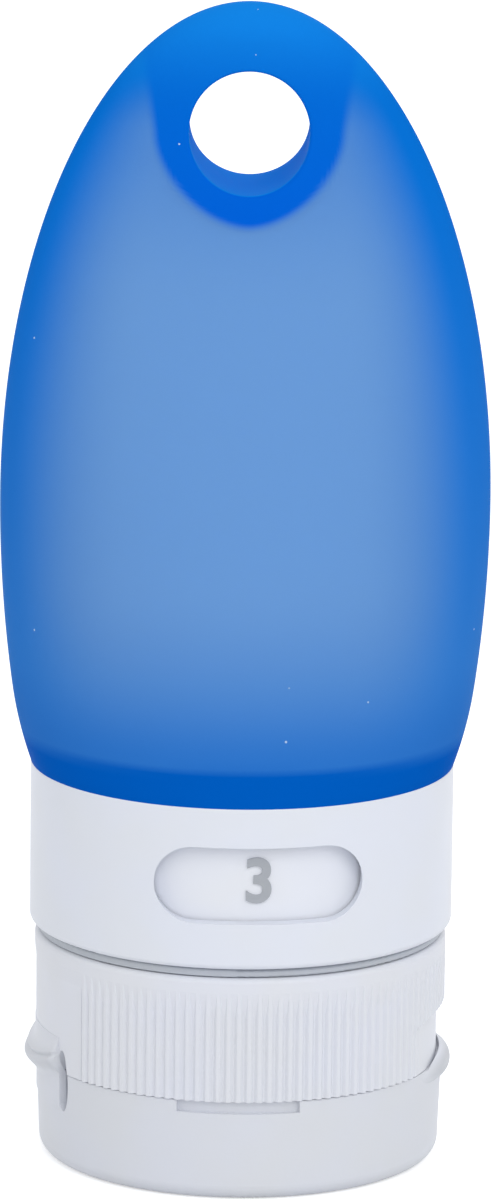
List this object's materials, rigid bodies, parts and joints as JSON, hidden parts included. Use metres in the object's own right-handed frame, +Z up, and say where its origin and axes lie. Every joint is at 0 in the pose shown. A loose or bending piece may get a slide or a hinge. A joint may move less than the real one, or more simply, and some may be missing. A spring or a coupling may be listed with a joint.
{
  "type": "travel squeeze bottle",
  "caption": "Soft silicone travel bottle that stands on its cap, with a hanging hole, a turning window collar over a label ring, a ribbed screw cap and a hinged flip lid.",
  "frame": {"origin": "centre of the flip lid's outer face, which the bottle stands on", "axes": "+Z up along the neck axis from lid to hanging hole, -Y towards the viewer and the window, -X towards the living hinge, +X towards the thumb lip"},
  "size_m": [0.0454, 0.0394, 0.1089],
  "materials": {
    "silicone": "frosted see-through blue silicone",
    "collar_plastic": "smooth white, half gloss",
    "label_plastic": "satin white with raised marks",
    "cap_plastic": "moulded white, satin",
    "neck_plastic": "moulded grey-white, satin",
    "retainer_plastic": "moulded white, satin",
    "seal_rubber": "soft pale grey",
    "valve_rubber": "soft milky clear"
  },
  "bodies": {
    "bottle": {"bottle_body": "silicone", "neck_insert": "neck_plastic", "label_ring": "label_plastic"},
    "collar": {"window_collar": "collar_plastic"},
    "seal": {"cap_gasket": "seal_rubber"},
    "cap": {"screw_cap": "cap_plastic", "slit_valve": "valve_rubber", "valve_retainer": "retainer_plastic", "hinge_strap": "cap_plastic"},
    "lid": {"flip_lid": "cap_plastic"}
  },
  "joints": [
    {"name": "collar_turn", "type": "hinge", "parent": "bottle", "child": "collar", "pos_m": [0, 0, 0.03], "axis": [0, 0, 1], "continuous": true},
    {"name": "cap_travel", "type": "slide", "parent": "bottle", "child": "seal", "axis": [0, 0, -1], "range_m": [0, 0.0064]},
    {"name": "cap_turn", "type": "hinge", "parent": "seal", "child": "cap", "pos_m": [0, 0, 0.0155], "axis": [0, 0, -1], "range_deg": [0, 540]},
    {"name": "lid_hinge", "type": "hinge", "parent": "cap", "child": "lid", "pos_m": [-0.01985, 0, 0.0095], "axis": [0, 1, 0], "range_deg": [0, 175], "deforming": ["hinge_strap"]}
  ],
  "couplings": [
    {"joint": "cap_travel", "follows": "cap_turn", "m_per_rad": 0.00066845}
  ]
}
